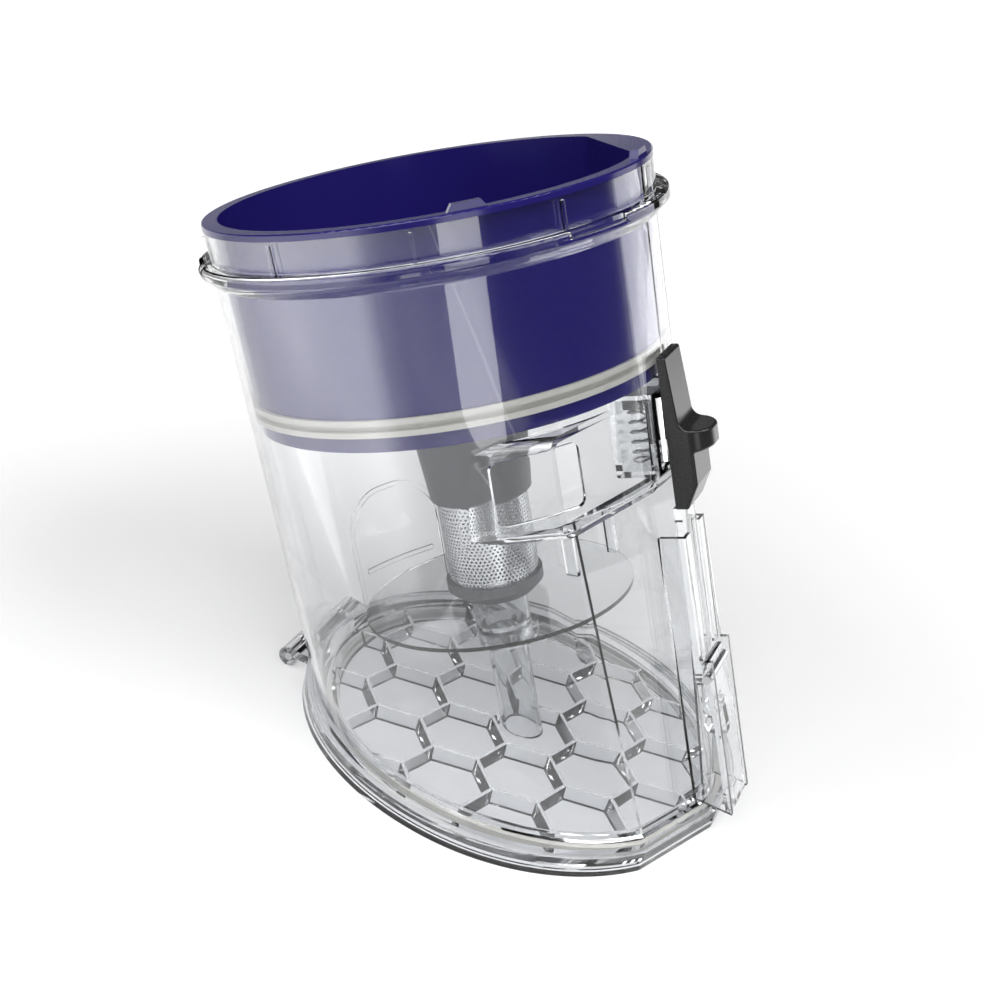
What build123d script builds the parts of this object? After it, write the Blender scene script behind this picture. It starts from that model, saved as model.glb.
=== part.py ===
"""Clear cyclone dust bin of an upright vacuum: canister, lift-out separator, drop-down door and its release.

The bin stands on its slanted door, so its axis leans back towards the hinge. The row frame has the
floor at z = 0, the origin where the bin's axis meets the floor, and +X towards the release.
Radii are square to the bin's axis and heights run along it, up from the origin.
"""
import os
from math import asin, atan2, cos, degrees, hypot, radians, sin, sqrt, tan

from build123d import *

# Canister
LEAN = 24.0
AXIS_LENGTH = 226.0
WALL_R = 82.0
WALL = 2.2
DRAFT = 1.475
BEAD_REACH = 4.8
BEAD_TOP_DEPTH = 13.6
BEAD_LOW_DEPTH = 17.6
BEAD_FOOT_DEPTH = 22.0
BEAD_ROUND = 1.2
COLLAR_RIBS = 10
COLLAR_RIB_START = -33.0
COLLAR_RIB_T = 1.2
COLLAR_RIB_REACH = 1.6
BAYONET_SLOTS = 3
BAYONET_AZ = -25.0
BAYONET_W = 26.0
BAYONET_DEPTH = 2.6
BAYONET_LEDGE = 1.4

# Flat land down the lower wall and the door, below the inlet
LAND_AZ = -19.0
LAND_CUT = 3.1
LAND_REACH = 1.6

# Tangential inlet
MOUTH_AZ = -20.0
MOUTH_SHIFT = -15.1
MOUTH_W = 53.2
MOUTH_T = 36.5
MOUTH_DEPTH = 96.5
MOUTH_CORNER = 5.0
MOUTH_WALL = 2.2
TANGENT_SINK = 1.2
WINDOW_AZ = -49.0
WINDOW_W = 32.0
WINDOW_T = 23.5
WINDOW_CORNER = 3.0
GUSSET_T = 1.8
GUSSET_DROP = 15.0
GUSSET_REACH = 4.0

# Lift-out bowl and its lip seal, keyed by a flat
RIM_OVERHANG = 0.15
RIM_T = 2.4
KEY_AZ = 35.0
KEY_DROP = 7.0
KEY_CORNER = 14.0
KEY_GAP = 0.5
BOWL_TOP_GAP = 1.2
BOWL_FOOT_GAP = 1.7
BOWL_DEPTH = 77.0
BOWL_WALL = 2.4
BOWL_OUTLET_R = 17.0
SEAL_TOP_DEPTH = 65.3
SEAL_H = 6.2
SEAL_SEAT = 1.1
SEAL_LIP = 2.0
SEAL_GAP = 0.2
KEY_WALL = 2.0
TAB_AZIMUTHS = (-55.5, 5.0)
TAB_W = 15.0
TAB_H = 2.6
TAB_T = 3.2
TAB_SLOPE = 55.0

# Separator hung under the bowl
CONE_TOP_R = 23.5
CONE_LIP = 2.0
CONE_FOOT_DEPTH = 121.0
CONE_WALL = 1.8
CONE_BEVEL = 0.8
SCREEN_R = 18.0
SCREEN_T = 0.8
SCREEN_SEAT = 4.0
SCREEN_FIT = 0.05
SCREEN_FOOT_DEPTH = 158.0
HOLES_ROUND = 12
HOLE_ROWS = 9
HOLE_R = 1.5
END_RING_T = 1.4
END_RING_FOOT_R = 14.6
END_RING_FOOT_DEPTH = 162.2
SHIELD_R = 52.8
SHIELD_T = 1.6
HUB_R = 11.0
HUB_T = 1.8
HUB_L = 20.0
TUBE_R = 8.0
TUBE_T = 1.4
TUBE_SEAT = 4.0
TUBE_GAP = 0.4
TUBE_CLEAR = 0.8

# Drop-down door, with the strike that the catch grips
FLANGE_REACH = 7.9
PANEL_T = 2.4
DOOR_BAND_T = 2.0
DOOR_BAND_STEP = 0.8
DOOR_BAND_W = 1.4
SPIGOT_GAP = 1.3
SPIGOT_LAND_GAP = 1.0
SPIGOT_T = 1.8
SPIGOT_H = 7.0
CELL_SIDE = 17.6
CELL_TURN = 12.5
CELL_SHIFT_X = 4.9
CELL_SHIFT_Y = -6.2
CELL_RIB_W = 1.4
CELL_RIB_H = 6.4
CELL_DRAFT = 4.0
DOOR_SEAL_GAP = 1.4
DOOR_SEAL_LAND_GAP = 0.3
DOOR_SEAL_W = 2.0
DOOR_SEAL_T = 2.3
DOOR_GAP = 0.5
FLANGE_T = 3.6
RIDGE_T = 2.0
RIDGE_STEP = 2.4
STRIKE_W = 14.0
STRIKE_T = 2.0
STRIKE_H = 13.6
STRIKE_GAP = 1.2
STRIKE_WINDOW_W = 9.0
STRIKE_WINDOW_H = 4.4
STRIKE_WINDOW_TOP = 2.0
NOTCH_GAP = 0.5

# Door hinge
KNUCKLE_R = 4.2
KNUCKLE_GAP = 0.6
DOOR_KNUCKLE_W = 26.0
BODY_KNUCKLE_W = 11.6
KNUCKLE_SIDE_GAP = 0.4
HINGE_Z = 4.6
HINGE_PIN_R = 1.6
RUNNING_GAP = 0.05
PIN_SEAT = 0.02

# Release slider and its spring
SLIDER_W = 19.0
SLIDER_GAP = 0.6
SLIDER_TOP_T = 3.0
SLIDER_WAIST_T = 5.0
SLIDER_BLOCK_T = 9.2
LEDGE_REACH = 15.6
SLIDER_TOP_DEPTH = 68.5
LEDGE_TOP_DEPTH = 96.5
LEDGE_T = 7.0
LEDGE_STEP = 1.0
SLIDER_FOOT_DEPTH = 126.0
SLIDER_CHAMFER = 4.6
SLIDER_EDGE = 1.0
LEDGE_ROOT = 4.0
LEDGE_ROUND = 8.0
TRAVEL = 8.0
SLOT_W = 12.6
SLOT_TOP_DEPTH = 84.0
NECK_H = 15.6
TEE_T = 2.5
TEE_GAP = 0.6
POCKET_W = 20.0
POCKET_D = 14.4
POCKET_TOP_DEPTH = 83.0
POCKET_FOOT_DEPTH = 110.0
POCKET_WALL = 2.0
SPRING_R = 3.6
SPRING_WIRE = 0.9
SPRING_TURNS = 6.5
SPRING_INSET = 5.0
SPRING_GAP = 0.1
FOOT_T = 4.0
FOOT_W = 9.0
SLIDE_GAP = 0.3

# Push rod, its channel and the door catch that its peg turns
ROD_W = 16.0
ROD_GAP = 0.4
ROD_T = 3.0
PEG_R = 1.3
PEG_REACH = 0.6
PEG_H = 16.0
PEG_GAP = 0.3
FIN_T = 4.0
FIN_WALL = 1.4
PRONG_W = 2.6
FORK_GAP = 0.4
CATCH_TURN = 4.5
RAIL_LIP = 1.8
RAIL_GAP = 0.4
RAIL_LIP_T = 1.3
RAIL_CLEAR = 2.0
RAIL_FLARE = 0.7
CATCH_W = 19.8
CATCH_T = 2.3
CATCH_CLEAR = 0.8
CATCH_PIVOT_H = 33.0
CATCH_BOSS_R = 2.0
CATCH_TAIL = 5.0
CATCH_HIP_H = 10.0
CATCH_INSET = 0.5
HOOK_GAP = 0.9
HOOK_FIT = 0.6
HOOK_RISE = 5.0
CHEEK_T = 2.0
CHEEK_GAP = 0.4
CHEEK_WRAP = 1.6
CHEEK_FOOT_Z = 12.6
CHEEK_TOP_H = 40.0
CATCH_PIN_R = 1.0
PIN_HEAD_R = 1.8
PIN_HEAD_T = 1.0

# Raised loop on the back wall
LOOP_AZ = 148.0
LOOP_W = 46.0
LOOP_H = 75.0
LOOP_CORNER = 20.0
LOOP_DEPTH = 170.5
LOOP_LINE = 2.0
LOOP_RISE = 1.0
LOOP_BAR_DEPTH = 167.0
LOOP_BAR_W = 34.0

# Frames of the leaning bin
lean = radians(LEAN)
Y_DIR = Vector(0, 1, 0)
AXIS_DIR = Vector(-sin(lean), 0, cos(lean))
OUT_DIR = Vector(cos(lean), 0, sin(lean))
PROFILE = Plane(origin=(0, 0, 0), x_dir=OUT_DIR, z_dir=-Y_DIR)
AXIS = Axis((0, 0, 0), AXIS_DIR)


def height(depth):
    """Height along the axis of a point that lies this far below the rim's top."""
    return AXIS_LENGTH - depth


def wall_radius(at_height):
    """Outer radius of the tapered canister wall."""
    return WALL_R + (at_height - height(BEAD_LOW_DEPTH)) * tan(radians(DRAFT))


def outward(azimuth):
    """Unit vector square to the axis, turned from the release side."""
    turn = radians(azimuth)
    return OUT_DIR * cos(turn) + Y_DIR * sin(turn)


def facing(azimuth, distance, at_height):
    """Plane square to a radius, with its x tangential and its y along the axis."""
    return Plane(
        origin=outward(azimuth) * distance + AXIS_DIR * at_height,
        x_dir=outward(azimuth + 90),
        z_dir=outward(azimuth),
    )


def level(at_height, azimuth=0.0):
    """Plane square to the axis, with its x along an azimuth."""
    return Plane(origin=AXIS_DIR * at_height, x_dir=outward(azimuth), z_dir=AXIS_DIR)


def slice_at(at_z):
    """Plane parallel to the floor, centred on the leaning axis."""
    return Plane(origin=(-at_z * tan(lean), 0, at_z), x_dir=(1, 0, 0), z_dir=(0, 0, 1))


def seam_height(radius, at_z):
    """Height along the axis where the release side's radius meets a plane parallel to the floor."""
    return (at_z - radius * sin(lean)) / cos(lean)


def keyed(radius, flat, corner):
    """Disc with the bowl's key flat across it, sketched with its x along the key's azimuth."""
    Circle(radius)
    with Locations((flat, 0)):
        Rectangle(2 * radius, 2 * radius, align=(Align.MIN, Align.CENTER), mode=Mode.SUBTRACT)
    fillet(vertices(), corner)


def leaning(at_x, at_z):
    """Radius and height, in the bin's frame, of a point on the release side of the row frame."""
    return (at_x * cos(lean) + at_z * sin(lean), at_z * cos(lean) - at_x * sin(lean))


def foot_reach(at_z):
    """How far the wall's outer face comes towards the release at a plane parallel to the floor."""
    at_height = (at_z - wall_radius(0) * sin(lean)) / (cos(lean) + tan(radians(DRAFT)) * sin(lean))
    return wall_radius(at_height) * cos(lean) - at_height * sin(lean)


def cut_land(radius, land):
    """Flat land cut across a sketch that is parallel to the floor."""
    turn = radians(LAND_AZ)
    across = hypot(cos(lean) * cos(turn), sin(turn))
    direction = degrees(atan2(sin(turn), cos(lean) * cos(turn)))
    with Locations(Location((0, 0, 0), (0, 0, direction))):
        with Locations((land / across, 0)):
            Rectangle(2 * radius, 4 * radius, align=(Align.MIN, Align.CENTER), mode=Mode.SUBTRACT)


def foot_section(radius, land):
    """Section of the round wall by the floor, an ellipse, with the flat land."""
    Ellipse(radius / cos(lean), radius)
    cut_land(radius, land)


def door_outline(radius, land):
    """Outline of the door: the wall's ellipse towards the hinge, a circle towards the release."""
    Ellipse(radius / cos(lean), radius)
    Rectangle(2 * radius, 4 * radius, align=(Align.MIN, Align.CENTER), mode=Mode.SUBTRACT)
    Circle(radius)
    cut_land(radius, land)


# Heights and radii that follow from the driving dimensions
seat_h = height(RIM_T)
bead_r = WALL_R + BEAD_REACH
rim_r = wall_radius(seat_h) + RIM_OVERHANG
door_r = wall_radius(0) + FLANGE_REACH
land_d = wall_radius(0) - LAND_CUT
door_land = land_d + LAND_REACH
low_h = -(door_r + FLANGE_REACH) * tan(lean)
mouth_h = height(MOUTH_DEPTH)
mouth_foot_h = mouth_h - MOUTH_T / 2
mouth_d = wall_radius(mouth_h)
mouth_edge = MOUTH_SHIFT - MOUTH_W / 2
mouth_edge_r = hypot(mouth_d, mouth_edge)
duct_az = MOUTH_AZ + degrees(atan2(mouth_edge, mouth_d) + asin((mouth_d - TANGENT_SINK) / mouth_edge_r))
duct_run = sqrt(mouth_edge_r**2 - (mouth_d - TANGENT_SINK) ** 2)
flange_z = PANEL_T + DOOR_BAND_T + DOOR_GAP
flange_top_z = flange_z + FLANGE_T
hinge_x = -(door_r / cos(lean) + KNUCKLE_R + KNUCKLE_GAP)
bowl_foot_h = height(BOWL_DEPTH)
bowl_top_r = wall_radius(seat_h) - WALL - BOWL_TOP_GAP
bowl_foot_r = wall_radius(bowl_foot_h) - WALL - BOWL_FOOT_GAP
key_d = bowl_top_r - BOWL_WALL - KEY_DROP
bowl_flat = key_d + BOWL_WALL
bowl_foot_flat = bowl_flat - (bowl_top_r - bowl_foot_r)
key_wall_d = bowl_flat + KEY_GAP
seal_foot_h = height(SEAL_TOP_DEPTH) - SEAL_H
seal_r = wall_radius(seal_foot_h) - WALL - SEAL_GAP
seal_seat_r = bowl_foot_r - SEAL_SEAT
cone_foot_r = SCREEN_R + CONE_LIP
cone_foot_h = height(CONE_FOOT_DEPTH)
screen_top_h = cone_foot_h + SCREEN_SEAT
screen_foot_h = height(SCREEN_FOOT_DEPTH)
ring_foot_h = height(END_RING_FOOT_DEPTH)
shield_foot_h = ring_foot_h - SHIELD_T
hub_foot_h = shield_foot_h - HUB_L
spigot_r = wall_radius(seam_height(door_r, PANEL_T)) - WALL - SPIGOT_GAP
spigot_land = land_d - WALL - SPIGOT_LAND_GAP
strike_x = foot_reach(flange_z) + STRIKE_GAP
slider_back_r = wall_radius(height(SLIDER_TOP_DEPTH)) + SLIDER_GAP
slider_waist_r = slider_back_r + SLIDER_WAIST_T
slider_block_r = slider_back_r + SLIDER_BLOCK_T
ledge_r = slider_back_r + LEDGE_REACH
ledge_h = height(LEDGE_TOP_DEPTH)
slider_waist = (slider_waist_r, ledge_h + LEDGE_STEP)
slider_foot_h = height(SLIDER_FOOT_DEPTH)
neck_top_h = height(SLOT_TOP_DEPTH) - SLIDE_GAP
pocket_front_r = wall_radius(height(POCKET_FOOT_DEPTH)) - WALL
pocket_back_r = pocket_front_r - POCKET_D
tee_r = pocket_front_r - SLIDE_GAP - TEE_T
spring_x = pocket_back_r + SPRING_INSET
rail_top_h = slider_foot_h - TRAVEL - RAIL_CLEAR
rod_back_r = wall_radius(slider_foot_h) + ROD_GAP
rod_front_r = rod_back_r + ROD_T
rail_lip_r = rod_front_r + RAIL_GAP
peg_x = rod_front_r + PEG_REACH
fork_top_h = PEG_H + 3 * PEG_R + TRAVEL + 2 * FORK_GAP
pivot_r = rod_front_r + CATCH_CLEAR + CATCH_BOSS_R
pivot = (pivot_r, CATCH_PIVOT_H)
cheek_r = pivot_r + CATCH_PIN_R + CHEEK_WRAP
cheek_y = CATCH_W / 2 + CHEEK_GAP + CHEEK_T / 2
catch_hip_r = cheek_r - CATCH_INSET
window_top_z = PANEL_T + STRIKE_H - STRIKE_WINDOW_TOP
hook_x = strike_x + STRIKE_T + HOOK_GAP
hook_top = leaning(hook_x, window_top_z - HOOK_FIT)
hook_foot = leaning(hook_x, window_top_z - STRIKE_WINDOW_H + HOOK_FIT)

# Room inside the canister, with the land down its lower wall, and the key flat with the shelf under it
with BuildPart() as room:
    with BuildSketch(PROFILE):
        with BuildLine():
            Polyline(
                (0, low_h),
                (wall_radius(low_h) - WALL, low_h),
                (wall_radius(AXIS_LENGTH) - WALL, AXIS_LENGTH),
                (0, AXIS_LENGTH),
                close=True,
            )
        make_face()
    revolve(axis=AXIS)
    with BuildSketch(facing(LAND_AZ, land_d - WALL, mouth_foot_h + WALL)):
        Rectangle(2 * door_r, mouth_foot_h + WALL - low_h, align=(Align.CENTER, Align.MAX))
    extrude(amount=door_r, mode=Mode.SUBTRACT)
    with BuildSketch(facing(KEY_AZ, key_wall_d, bowl_foot_h - WALL)):
        Rectangle(2 * door_r, AXIS_LENGTH, align=(Align.CENTER, Align.MIN))
    extrude(amount=KEY_WALL, mode=Mode.SUBTRACT)
    with BuildSketch(facing(KEY_AZ, key_wall_d + KEY_WALL / 2, bowl_foot_h - WALL)):
        Rectangle(2 * door_r, WALL, align=(Align.CENTER, Align.MIN))
    extrude(amount=door_r, mode=Mode.SUBTRACT)
    with BuildSketch(facing(KEY_AZ, key_wall_d + KEY_WALL / 2, seat_h - WALL)):
        Rectangle(2 * door_r, AXIS_LENGTH, align=(Align.CENTER, Align.MIN))
    extrude(amount=door_r, mode=Mode.SUBTRACT)

# Inlet duct, skewed so that its outer wall runs tangent to the canister
with BuildPart() as duct:
    with BuildSketch(facing(MOUTH_AZ, mouth_d, mouth_h)):
        with Locations((MOUTH_SHIFT, 0)):
            RectangleRounded(MOUTH_W, MOUTH_T, MOUTH_CORNER)
    extrude(amount=duct_run, dir=-outward(duct_az))
    with BuildSketch(facing(MOUTH_AZ, mouth_d, mouth_h)):
        with Locations((MOUTH_SHIFT, 0)):
            RectangleRounded(MOUTH_W - 2 * MOUTH_WALL, MOUTH_T - 2 * MOUTH_WALL, MOUTH_CORNER - MOUTH_WALL)
    extrude(amount=duct_run + MOUTH_W, dir=-outward(duct_az), mode=Mode.SUBTRACT)
    with BuildSketch(PROFILE):
        with BuildLine():
            Polyline(
                (0, low_h),
                (wall_radius(low_h) - WALL / 2, low_h),
                (wall_radius(seat_h) - WALL / 2, seat_h),
                (0, seat_h),
                close=True,
            )
        make_face()
    revolve(axis=AXIS, mode=Mode.SUBTRACT)

# Raised loop with its bar, trimmed to stand proud of the back wall
with BuildPart() as loop:
    with BuildSketch(facing(LOOP_AZ, 0, height(LOOP_DEPTH))):
        RectangleRounded(LOOP_W, LOOP_H, LOOP_CORNER)
        RectangleRounded(
            LOOP_W - 2 * LOOP_LINE, LOOP_H - 2 * LOOP_LINE, LOOP_CORNER - LOOP_LINE, mode=Mode.SUBTRACT
        )
        with Locations((0, LOOP_DEPTH - LOOP_BAR_DEPTH)):
            Rectangle(LOOP_BAR_W, LOOP_LINE)
    extrude(amount=2 * door_r)
    with BuildSketch(PROFILE):
        with BuildLine():
            Polyline(
                (wall_radius(low_h) - WALL / 2, low_h),
                (wall_radius(low_h) + LOOP_RISE, low_h),
                (wall_radius(seat_h) + LOOP_RISE, seat_h),
                (wall_radius(seat_h) - WALL / 2, seat_h),
                close=True,
            )
        make_face()
    revolve(axis=AXIS, mode=Mode.INTERSECT)

# Clear canister with its collar, inlet, spring pocket, rod channel, flange and hinge knuckles
with BuildPart() as bin_body:
    with BuildSketch(PROFILE) as body_profile:
        with BuildLine():
            Polyline(
                (0, low_h),
                (wall_radius(low_h), low_h),
                (wall_radius(height(BEAD_FOOT_DEPTH)), height(BEAD_FOOT_DEPTH)),
                (bead_r, height(BEAD_LOW_DEPTH)),
                (bead_r, height(BEAD_TOP_DEPTH)),
                (wall_radius(height(BEAD_TOP_DEPTH)), height(BEAD_TOP_DEPTH)),
                (wall_radius(seat_h), seat_h),
                (0, seat_h),
                close=True,
            )
        make_face()
        fillet(body_profile.vertices().group_by(Axis.X)[-1], BEAD_ROUND)
    revolve(axis=AXIS)
    # Wall outside the key flat, from its shelf up to the bead
    with BuildSketch(facing(KEY_AZ, key_wall_d + KEY_WALL, bowl_foot_h)):
        Rectangle(2 * door_r, height(BEAD_FOOT_DEPTH) - bowl_foot_h, align=(Align.CENTER, Align.MIN))
    extrude(amount=door_r, mode=Mode.SUBTRACT)
    # Bayonet slots in the bead
    for slot in range(BAYONET_SLOTS):
        slot_az = BAYONET_AZ + slot * 360 / BAYONET_SLOTS
        with BuildSketch(facing(slot_az, bead_r - BAYONET_DEPTH, height(BEAD_LOW_DEPTH) + BAYONET_LEDGE)):
            Rectangle(BAYONET_W, 2 * RIM_T, align=(Align.CENTER, Align.MIN))
        extrude(amount=bead_r, mode=Mode.SUBTRACT)
    # Flat land below the inlet
    with BuildSketch(facing(LAND_AZ, land_d, mouth_foot_h)):
        Rectangle(2 * door_r, mouth_foot_h - low_h, align=(Align.CENTER, Align.MAX))
    extrude(amount=door_r, mode=Mode.SUBTRACT)
    # Collar ribs
    for rib in range(COLLAR_RIBS):
        rib_az = COLLAR_RIB_START + rib * 360 / COLLAR_RIBS
        with BuildSketch(facing(rib_az, WALL_R - WALL / 2, height(BEAD_TOP_DEPTH) - RIM_T / 2)):
            Rectangle(COLLAR_RIB_T, BEAD_TOP_DEPTH - RIM_T, align=(Align.CENTER, Align.MIN))
        extrude(amount=WALL / 2 + COLLAR_RIB_REACH)
    add(loop.part)
    # Everything below the door's seam goes, then the flange and its ridge come on, notched for the strike
    split(bisect_by=Plane.XY.offset(flange_z), keep=Keep.TOP)
    with BuildSketch(Plane.XY.offset(flange_z)):
        door_outline(door_r, door_land)
    extrude(amount=FLANGE_T)
    with BuildSketch(Plane.XY.offset(flange_top_z)):
        door_outline(door_r - RIDGE_STEP, door_land - RIDGE_STEP)
    extrude(amount=RIDGE_T)
    with BuildSketch(Plane.XY.offset(flange_z)):
        with Locations((strike_x - NOTCH_GAP, 0)):
            Rectangle(door_r, STRIKE_W + 2 * NOTCH_GAP, align=(Align.MIN, Align.CENTER))
    extrude(amount=FLANGE_T + RIDGE_T, mode=Mode.SUBTRACT)
    # Cheeks that carry the catch pin, running up as the channel's sides, with lips that hold the push rod
    for side in (-1, 1):
        with BuildSketch(PROFILE.offset(-side * cheek_y)):
            with BuildLine():
                Polyline(
                    (0, seam_height(0, CHEEK_FOOT_Z)),
                    (cheek_r, seam_height(cheek_r, CHEEK_FOOT_Z)),
                    (cheek_r, CHEEK_TOP_H),
                    (rail_lip_r + RAIL_LIP_T + RAIL_FLARE, CHEEK_TOP_H),
                    (rail_lip_r + RAIL_LIP_T, rail_top_h),
                    (0, rail_top_h),
                    close=True,
                )
            make_face()
        extrude(amount=CHEEK_T / 2, both=True)
        with BuildSketch(level(rail_top_h)):
            with Locations((rail_lip_r, side * (ROD_W / 2 - RAIL_LIP))):
                Rectangle(
                    RAIL_LIP_T,
                    cheek_y - ROD_W / 2 + RAIL_LIP,
                    align=(Align.MIN, Align.MIN if side > 0 else Align.MAX),
                )
        extrude(amount=CHEEK_TOP_H - rail_top_h)
    # Hinge knuckles on brackets from the flange
    for side in (-1, 1):
        knuckle_y = side * (DOOR_KNUCKLE_W / 2 + KNUCKLE_SIDE_GAP + BODY_KNUCKLE_W / 2)
        with BuildSketch(Plane.XZ.offset(-knuckle_y)):
            with Locations((hinge_x, HINGE_Z)):
                Circle(KNUCKLE_R)
            with Locations((hinge_x, flange_z)):
                Rectangle(door_r / 2, FLANGE_T, align=(Align.MIN, Align.MIN))
        extrude(amount=BODY_KNUCKLE_W / 2, both=True)
    # The room, the window through the wall, then the duct around the window
    add(room.part, mode=Mode.SUBTRACT)
    with BuildSketch(facing(WINDOW_AZ, mouth_d - WALL / 2, mouth_h)):
        RectangleRounded(WINDOW_W, WINDOW_T, WINDOW_CORNER)
    extrude(amount=3 * WALL, both=True, mode=Mode.SUBTRACT)
    add(duct.part)
    # Gussets under the duct floor
    for gusset_x in (mouth_edge + MOUTH_CORNER, mouth_edge + MOUTH_W / 2):
        with BuildSketch(facing(LAND_AZ, land_d - WALL / 2, mouth_foot_h)):
            with Locations((gusset_x, WALL / 2)):
                Rectangle(GUSSET_T, WALL / 2 + GUSSET_DROP, align=(Align.CENTER, Align.MAX))
        extrude(amount=GUSSET_REACH + WALL / 2)
    # Spring pocket behind the slider, and the slot for the slider's neck
    pocket_h = POCKET_FOOT_DEPTH - POCKET_TOP_DEPTH
    with BuildSketch(level(height(POCKET_FOOT_DEPTH) - POCKET_WALL)):
        with Locations((pocket_back_r - POCKET_WALL, 0)):
            Rectangle(
                pocket_front_r - pocket_back_r + POCKET_WALL + WALL / 2,
                POCKET_W + 2 * POCKET_WALL,
                align=(Align.MIN, Align.CENTER),
            )
    extrude(amount=pocket_h + 2 * POCKET_WALL)
    with BuildSketch(level(height(POCKET_FOOT_DEPTH))):
        with Locations((pocket_back_r, 0)):
            Rectangle(pocket_front_r - pocket_back_r, POCKET_W, align=(Align.MIN, Align.CENTER))
    extrude(amount=pocket_h, mode=Mode.SUBTRACT)
    with BuildSketch(level(height(SLOT_TOP_DEPTH))):
        with Locations((spring_x, 0)):
            Rectangle(slider_back_r - spring_x, SLOT_W, align=(Align.MIN, Align.CENTER))
    extrude(amount=-(NECK_H + TRAVEL + 2 * SLIDE_GAP), mode=Mode.SUBTRACT)
    # Pin holes
    with BuildSketch(Plane.XZ):
        with Locations((hinge_x, HINGE_Z)):
            Circle(HINGE_PIN_R + PIN_SEAT)
    extrude(amount=door_r, both=True, mode=Mode.SUBTRACT)
    with BuildSketch(PROFILE):
        with Locations(pivot):
            Circle(CATCH_PIN_R + PIN_SEAT)
    extrude(amount=CATCH_W, both=True, mode=Mode.SUBTRACT)
bin_body.part.label = "bin_body"

# Bowl that lifts out, with its rim, key flat, seal groove, outlet and tabs
with BuildPart() as filter_bowl:
    with BuildSketch(level(seat_h, KEY_AZ)):
        keyed(bowl_top_r, bowl_flat, KEY_CORNER)
    with BuildSketch(level(bowl_foot_h, KEY_AZ)):
        keyed(bowl_foot_r, bowl_foot_flat, KEY_CORNER)
    loft()
    with BuildSketch(level(seat_h)):
        Circle(rim_r)
    extrude(amount=RIM_T)
    fillet(filter_bowl.edges().group_by(AXIS)[-1], RIM_T / 4)
    with BuildSketch(level(AXIS_LENGTH, KEY_AZ)):
        keyed(bowl_top_r - BOWL_WALL, key_d, KEY_CORNER)
    with BuildSketch(level(bowl_foot_h + BOWL_WALL, KEY_AZ)):
        keyed(bowl_foot_r - BOWL_WALL, bowl_foot_flat - BOWL_WALL, KEY_CORNER)
    loft(mode=Mode.SUBTRACT)
    with BuildSketch(level(seal_foot_h, KEY_AZ)):
        Circle(rim_r)
        with BuildSketch(mode=Mode.SUBTRACT):
            keyed(seal_seat_r, bowl_foot_flat - SEAL_SEAT, KEY_CORNER)
    extrude(amount=SEAL_H, mode=Mode.SUBTRACT)
    with BuildSketch(level(bowl_foot_h)):
        Circle(BOWL_OUTLET_R)
    extrude(amount=2 * BOWL_WALL, both=True, mode=Mode.SUBTRACT)
    for tab_az in TAB_AZIMUTHS:
        with BuildSketch(facing(tab_az, bowl_top_r - BOWL_WALL / 2, AXIS_LENGTH - RIM_T / 2)):
            Trapezoid(TAB_W, TAB_H + RIM_T / 2, TAB_SLOPE, align=(Align.CENTER, Align.MIN))
        extrude(amount=TAB_T)
filter_bowl.part.label = "filter_bowl"

# Double-lipped seal that rides in the bowl's groove
with BuildPart() as bowl_gasket:
    with BuildSketch(level(seal_foot_h, KEY_AZ)):
        keyed(seal_r - SEAL_LIP, key_wall_d - SEAL_GAP - SEAL_LIP, KEY_CORNER)
    extrude(amount=SEAL_H)
    for lip_h in (seal_foot_h, seal_foot_h + SEAL_H - SEAL_LIP):
        with BuildSketch(level(lip_h, KEY_AZ)):
            keyed(seal_r, key_wall_d - SEAL_GAP, KEY_CORNER)
        extrude(amount=SEAL_LIP)
    with BuildSketch(level(seal_foot_h, KEY_AZ)):
        keyed(seal_seat_r, bowl_foot_flat - SEAL_SEAT, KEY_CORNER)
    extrude(amount=SEAL_H, mode=Mode.SUBTRACT)
bowl_gasket.part.label = "bowl_gasket"

# Grey cone that carries the screen
with BuildPart() as cyclone_cone:
    with BuildSketch(PROFILE):
        with BuildLine():
            Polyline(
                (SCREEN_R, cone_foot_h),
                (cone_foot_r, cone_foot_h),
                (CONE_TOP_R, bowl_foot_h),
                (CONE_TOP_R - CONE_WALL, bowl_foot_h),
                (SCREEN_R - SCREEN_T, screen_top_h + CONE_WALL),
                (SCREEN_R - SCREEN_T, screen_top_h),
                (SCREEN_R, screen_top_h),
                close=True,
            )
        make_face()
    revolve(axis=AXIS)
    chamfer(cyclone_cone.edges().group_by(AXIS)[0].sort_by(SortBy.LENGTH)[-1], CONE_BEVEL)
cyclone_cone.part.label = "cyclone_cone"

# Perforated metal screen
with BuildPart() as mesh_screen:
    with BuildSketch(PROFILE):
        with BuildLine():
            Polyline(
                (SCREEN_R - SCREEN_T, screen_foot_h),
                (SCREEN_R - SCREEN_FIT, screen_foot_h),
                (SCREEN_R - SCREEN_FIT, screen_top_h),
                (SCREEN_R - SCREEN_T, screen_top_h),
                close=True,
            )
        make_face()
    revolve(axis=AXIS)
    hole_low_h = screen_foot_h + SCREEN_SEAT + 2 * HOLE_R
    hole_step = (cone_foot_h - 2 * HOLE_R - hole_low_h) / (HOLE_ROWS - 1)
    for column in range(2 * HOLES_ROUND):
        rows = range(column % 2, HOLE_ROWS, 2)
        with BuildSketch(facing(column * 180 / HOLES_ROUND, 0, hole_low_h)):
            with Locations([(0, row * hole_step) for row in rows]):
                RegularPolygon(HOLE_R, 6, rotation=30)
        extrude(amount=SCREEN_R + SCREEN_T, mode=Mode.SUBTRACT)
mesh_screen.part.label = "mesh_screen"

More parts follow.
